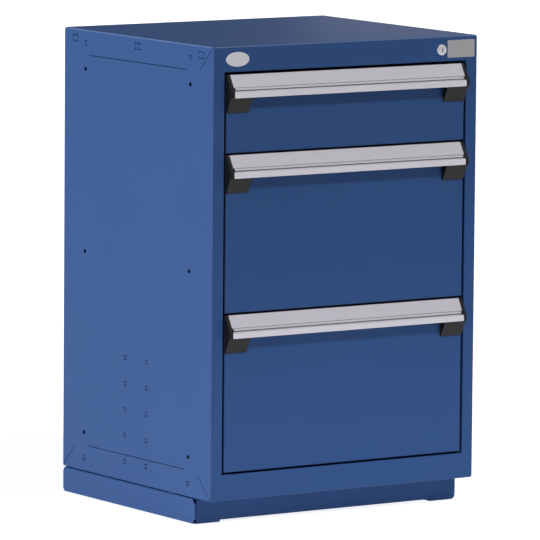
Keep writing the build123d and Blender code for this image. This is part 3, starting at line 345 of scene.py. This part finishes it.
def gloss_enamel(name):
    """White enamel under a clear dome: glossy and even, with a soft cloud below the surface."""
    material, tree, place = new_finish(name)
    cloud = add(tree, "ShaderNodeTexNoise", {"Vector": place, "Scale": 1 / ENAMEL_CLOUD, "Detail": 1.0})
    colour = add(tree, "ShaderNodeMix", {
        "Factor": cloud, "A": linear(ENAMEL_TONES[0]), "B": linear(ENAMEL_TONES[1])}, data_type="RGBA")
    enamel = add(tree, "ShaderNodeBsdfPrincipled", {
        "Base Color": colour, "Roughness": 0.22, "Coat Weight": 0.6, "Coat Roughness": 0.08})
    add(tree, "ShaderNodeOutputMaterial", {"Surface": enamel})
    return material


def silver_foil(name):
    """Silver label foil under a clear film: a matt, half metallic sheen with fine lines along its length.
    The real lines are finer and are drawn coarser here, so that they show."""
    material, tree, place = new_finish(name)
    stretched = add(tree, "ShaderNodeMapping", {
        "Vector": place, "Scale": (1 / FOIL_LINE_LENGTH, 1 / FOIL_LINE, 1 / FOIL_LINE)})
    lines = add(tree, "ShaderNodeTexNoise", {"Vector": stretched, "Scale": 1.0, "Detail": 1.0})
    colour = add(tree, "ShaderNodeMix", {
        "Factor": lines, "A": linear(FOIL_TONES[0]), "B": linear(FOIL_TONES[1])}, data_type="RGBA")
    foil = add(tree, "ShaderNodeBsdfPrincipled", {"Base Color": colour, "Metallic": 0.6, "Roughness": 0.45})
    add(tree, "ShaderNodeOutputMaterial", {"Surface": foil})
    return material


dress(gloss_enamel("gloss_white_enamel"), "blank_badge")
dress(silver_foil("silver_label_foil"), "blank_data_plate")


# Studio floor: a wide disc of matt white paper, which stays in shade under the cabinet.
# It looks white to the camera and lights the cabinet no more for it.
# In mirrors it is white near the cabinet and darker further away.
FLOOR_RADIUS = 40.0
FLOOR_TONES = ("#EDEDED", "#EFEFEF")
FLOOR_MOTTLE = 0.4
FLOOR_LIT = 0.14
FLOOR_MIRROR = (1.0, 0.25)
FLOOR_MIRROR_REACH = (1.0, 6.0)
SHADED_SIDE_INSET = 3.8 * MM
SHADED_FRONT_INSET = 51.6 * MM
SHADED_REAR_INSET = 2.1 * MM
WHITE = (1, 1, 1, 1)

base_low = Vector(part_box("base_left_channel")[0])
base_high = Vector(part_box("base_right_channel")[1])
shaded_front = base_low.y + SHADED_FRONT_INSET
shaded_rear = base_high.y - SHADED_REAR_INSET
shaded_middle = (0, (shaded_front + shaded_rear) / 2, 0)
shaded_half_width = base_high.x - SHADED_SIDE_INSET
shaded_half_depth = (shaded_rear - shaded_front) / 2


def seen_directly(tree):
    """One for camera and see-through rays, nought for the others."""
    in_view = add(tree, "ShaderNodeLightPath", out="Is Camera Ray")
    see_through = add(tree, "ShaderNodeLightPath", out="Is Transmission Ray")
    return add(tree, "ShaderNodeMath", {0: in_view, 1: see_through}, operation="MAXIMUM")


def pale_floor(name):
    """Matt white paper, faintly mottled.
    It glows for the camera and in mirrors, except under the cabinet."""
    material, tree, place = new_finish(name)
    mottle = add(tree, "ShaderNodeTexNoise", {"Vector": place, "Scale": 1 / FLOOR_MOTTLE, "Detail": 2.0})
    colour = add(tree, "ShaderNodeMix", {
        "Factor": mottle, "A": linear(FLOOR_TONES[0]), "B": linear(FLOOR_TONES[1])}, data_type="RGBA")
    centred = add(tree, "ShaderNodeVectorMath", {0: place, 1: shaded_middle}, operation="SUBTRACT")
    apart = add(tree, "ShaderNodeVectorMath", {0: centred}, operation="ABSOLUTE")
    sideways = add(tree, "ShaderNodeSeparateXYZ", {"Vector": apart}, out="X")
    lengthways = add(tree, "ShaderNodeSeparateXYZ", {"Vector": apart}, out="Y")
    beside = add(tree, "ShaderNodeMath", {0: sideways, 1: shaded_half_width}, operation="GREATER_THAN")
    before = add(tree, "ShaderNodeMath", {0: lengthways, 1: shaded_half_depth}, operation="GREATER_THAN")
    clear = add(tree, "ShaderNodeMath", {0: beside, 1: before}, operation="MAXIMUM")
    away = add(tree, "ShaderNodeVectorMath", {0: place}, operation="LENGTH")
    near = add(tree, "ShaderNodeMapRange", {
        "Value": away, "From Min": FLOOR_MIRROR_REACH[0], "From Max": FLOOR_MIRROR_REACH[1],
        "To Min": FLOOR_MIRROR[0], "To Max": FLOOR_MIRROR[1]})
    in_mirror = add(tree, "ShaderNodeLightPath", out="Is Glossy Ray")
    mirrored = add(tree, "ShaderNodeMath", {0: near, 1: in_mirror}, operation="MULTIPLY")
    seen = add(tree, "ShaderNodeMath", {0: seen_directly(tree), 1: mirrored}, operation="MAXIMUM")
    shown = add(tree, "ShaderNodeMath", {0: seen, 1: clear}, operation="MULTIPLY")
    glow = add(tree, "ShaderNodeMath", {0: shown, 1: 1 - FLOOR_LIT}, operation="MULTIPLY")
    paper = add(tree, "ShaderNodeBsdfPrincipled", {
        "Base Color": colour, "Roughness": 0.9, "Specular IOR Level": 0.0,
        "Emission Color": WHITE, "Emission Strength": glow})
    add(tree, "ShaderNodeOutputMaterial", {"Surface": paper})
    return material


def studio_piece(name, shape, material):
    """Makes an object of a finished shape and puts it in the scene."""
    mesh = bpy.data.meshes.new(name)
    shape.to_mesh(mesh)
    shape.free()
    mesh.materials.append(material)
    piece = bpy.data.objects.new(name, mesh)
    bpy.context.scene.collection.objects.link(piece)
    return piece


floor_shape = bmesh.new()
bmesh.ops.create_circle(floor_shape, cap_ends=True, segments=96, radius=FLOOR_RADIUS)
floor = studio_piece("studio_floor", floor_shape, pale_floor("matt_white_floor"))


# Studio card: a sheet of white card that stands upright behind the cabinet, on its right.
# It shows only in mirrors, where it makes the right half of the top face paler.
CARD_MIDDLE = Vector((1.375, 1.0, 1.275))
CARD_WIDTH = 1.25
CARD_HEIGHT = 0.85
CARD_SHADES = (0.75, 0.8)
CARD_MOTTLE = 0.3
UPRIGHT = math.radians(90)


def white_card(name):
    """Matt white card, faintly mottled and evenly lit."""
    material, tree, place = new_finish(name)
    mottle = add(tree, "ShaderNodeTexNoise", {"Vector": place, "Scale": 1 / CARD_MOTTLE, "Detail": 2.0})
    shade = add(tree, "ShaderNodeMapRange", {
        "Value": mottle, "To Min": CARD_SHADES[0], "To Max": CARD_SHADES[1]})
    glow = add(tree, "ShaderNodeEmission", {"Color": WHITE, "Strength": shade})
    add(tree, "ShaderNodeOutputMaterial", {"Surface": glow})
    return material


card_place = (Matrix.Translation(CARD_MIDDLE) @ Matrix.Rotation(UPRIGHT, 4, "X")
              @ Matrix.Diagonal((CARD_WIDTH, CARD_HEIGHT, 1, 1)))
card_shape = bmesh.new()
bmesh.ops.create_grid(card_shape, x_segments=1, y_segments=1, size=0.5, matrix=card_place)
card = studio_piece("studio_card", card_shape, white_card("matt_white_card"))
card.visible_camera = False
card.visible_diffuse = False
card.visible_shadow = False
card.visible_transmission = False


# Studio world: the soft light of a plain room, which comes mostly from near the horizon.
# It looks white to the camera and lights the cabinet no more for it; in mirrors it is brighter overhead.
SKY_LIGHT = (0.25, 0.02)
SKY_LIGHT_RISE = 0.3
SKY_MIRROR = (0.05, 0.4)
SKY_MIRROR_RISE = 0.9

world = bpy.data.worlds.new("studio_world")
world.use_nodes = True
sky_tree = world.node_tree
sky_tree.nodes.clear()
way = add(sky_tree, "ShaderNodeTexCoord", out="Generated")
rise = add(sky_tree, "ShaderNodeSeparateXYZ", {"Vector": way}, out="Z")
light = add(sky_tree, "ShaderNodeMapRange", {
    "Value": rise, "From Max": SKY_LIGHT_RISE, "To Min": SKY_LIGHT[0], "To Max": SKY_LIGHT[1]})
mirror = add(sky_tree, "ShaderNodeMapRange", {
    "Value": rise, "From Max": SKY_MIRROR_RISE, "To Min": SKY_MIRROR[0], "To Max": SKY_MIRROR[1]})
in_mirror = add(sky_tree, "ShaderNodeLightPath", out="Is Glossy Ray")
level = add(sky_tree, "ShaderNodeMix", {"Factor": in_mirror, "A": light, "B": mirror})
level = add(sky_tree, "ShaderNodeMix", {"Factor": seen_directly(sky_tree), "A": level, "B": 1.0})
sky = add(sky_tree, "ShaderNodeBackground", {"Color": WHITE, "Strength": level})
add(sky_tree, "ShaderNodeOutputWorld", {"Surface": sky})
bpy.context.scene.world = world


# Lamps: two far soft lamps, one low on the left and one high in front.
# A strip stands low in front of the base and shows neither to the camera nor in mirrors.
STRIP_LENGTH = 1.4
STRIP_WIDTH = 0.1
STRIP_WATTS = 0.8
STRIP_PLACE = (0.1, -0.72, 0.05)


def soft_lamp(name, azimuth, elevation, level, width):
    """Far soft lamp; a white surface square to it renders at the given level. Angles are in degrees."""
    lamp = bpy.data.lights.new(name, "SUN")
    lamp.energy = level * math.pi
    lamp.angle = math.radians(width)
    stand = bpy.data.objects.new(name, lamp)
    a, e = math.radians(azimuth), math.radians(elevation)
    towards = Vector((math.sin(a) * math.cos(e), -math.cos(a) * math.cos(e), math.sin(e)))
    stand.rotation_euler = towards.to_track_quat("Z", "Y").to_euler()
    bpy.context.scene.collection.objects.link(stand)


soft_lamp("left_lamp", azimuth=-92, elevation=8, level=0.82, width=24)
soft_lamp("front_lamp", azimuth=16, elevation=50, level=0.38, width=9)

low_strip = bpy.data.lights.new("low_strip", "AREA")
low_strip.shape = "RECTANGLE"
low_strip.size = STRIP_LENGTH
low_strip.size_y = STRIP_WIDTH
low_strip.energy = STRIP_WATTS
low_strip_stand = bpy.data.objects.new("low_strip", low_strip)
low_strip_stand.location = STRIP_PLACE
low_strip_stand.rotation_euler = (UPRIGHT, 0, 0)
low_strip_stand.visible_camera = False
low_strip_stand.visible_glossy = False
bpy.context.scene.collection.objects.link(low_strip_stand)


# Camera: the photograph's angle, from the front left and about 7 degrees above level.
# A long lens from far away keeps the upright edges almost parallel, as the photograph has them.
AZIMUTH = math.radians(-33.606)
ELEVATION = math.radians(6.946)
ROLL = math.radians(0.479)
DISTANCE = 11.967
TARGET = Vector((4.24, 9.09, 447.86)) * MM
IMAGE_PIXELS = 540
FOCAL_PIXELS = 6125.8
FARTHEST_SEEN = 100.0

back = Vector((math.sin(AZIMUTH) * math.cos(ELEVATION), -math.cos(AZIMUTH) * math.cos(ELEVATION),
               math.sin(ELEVATION)))
level_right = Vector((math.cos(AZIMUTH), math.sin(AZIMUTH), 0))
level_up = back.cross(level_right)
right = math.cos(ROLL) * level_right + math.sin(ROLL) * level_up
up = back.cross(right)
turned = Matrix((right, up, back)).transposed().to_4x4()
camera = bpy.data.objects.new("camera", bpy.data.cameras.new("camera"))
camera.data.lens = camera.data.sensor_width * FOCAL_PIXELS / IMAGE_PIXELS
camera.data.clip_end = FARTHEST_SEEN
camera.matrix_world = Matrix.Translation(TARGET + back * DISTANCE) @ turned
bpy.context.scene.collection.objects.link(camera)
bpy.context.scene.camera = camera
bpy.context.scene.view_settings.view_transform = "Standard"
